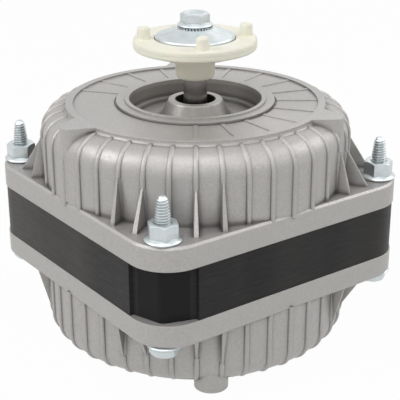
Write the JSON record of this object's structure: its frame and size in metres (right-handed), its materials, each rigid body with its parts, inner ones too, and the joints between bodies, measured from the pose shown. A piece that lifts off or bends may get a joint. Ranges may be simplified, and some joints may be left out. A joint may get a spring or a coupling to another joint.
{
  "type": "fan motor",
  "caption": "Square shaded-pole fan motor: ribbed cast shields clamped on a dark lamination stack, feet below, a lead outlet at the side and a pegged fan hub on its shaft.",
  "frame": {"origin": "on the shaft axis, in the plane of the three feet", "axes": "+Z along the shaft towards the fan hub, +X and +Y square to the flange sides, the lead outlet at -X"},
  "size_m": [0.086, 0.086, 0.0928],
  "materials": {
    "cast_aluminium": "as cast, fine satin",
    "lamination_steel": "varnished, satin",
    "zinc_steel": "zinc plated, bright",
    "shaft_steel": "ground, lightly oiled",
    "spring_steel": "rolled",
    "hub_plastic": "moulded, satin",
    "bobbin_plastic": "moulded, matte",
    "winding_copper": "enamelled wire",
    "shading_copper": "bare copper",
    "bearing_bronze": "sintered, oiled",
    "oil_felt": "oiled felt",
    "grommet_rubber": "moulded, matte",
    "washer_plastic": "moulded, matte",
    "cage_aluminium": "as cast"
  },
  "bodies": {
    "stator": {"upper_shield": "cast_aluminium", "lower_shield": "cast_aluminium", "stator_core": "lamination_steel", "bobbin_1": "bobbin_plastic", "bobbin_2": "bobbin_plastic", "bobbin_3": "bobbin_plastic", "bobbin_4": "bobbin_plastic", "winding_1": "winding_copper", "winding_2": "winding_copper", "winding_3": "winding_copper", "winding_4": "winding_copper", "shading_ring_1": "shading_copper", "shading_ring_2": "shading_copper", "shading_ring_3": "shading_copper", "shading_ring_4": "shading_copper", "upper_bearing": "bearing_bronze", "lower_bearing": "bearing_bronze", "upper_felt": "oil_felt", "lower_felt": "oil_felt", "upper_retainer": "spring_steel", "lower_retainer": "spring_steel", "dust_cap": "zinc_steel", "lead_grommet": "grommet_rubber", "clamp_bolt_1": "zinc_steel", "clamp_bolt_2": "zinc_steel", "clamp_bolt_3": "zinc_steel", "clamp_bolt_4": "zinc_steel", "clamp_nut_1": "zinc_steel", "clamp_nut_2": "zinc_steel", "clamp_nut_3": "zinc_steel", "clamp_nut_4": "zinc_steel"},
    "rotor": {"shaft": "shaft_steel", "rotor_core": "lamination_steel", "rotor_cage": "cage_aluminium", "upper_collar": "shaft_steel", "lower_collar": "shaft_steel", "upper_thrust_washer": "washer_plastic", "lower_thrust_washer": "washer_plastic", "fan_hub": "hub_plastic", "hub_washer": "zinc_steel", "hub_screw": "zinc_steel"}
  },
  "joints": [
    {"name": "rotor_spin", "type": "hinge", "parent": "stator", "child": "rotor", "pos_m": [0, 0, 0], "axis": [0, 0, 1], "continuous": true}
  ]
}
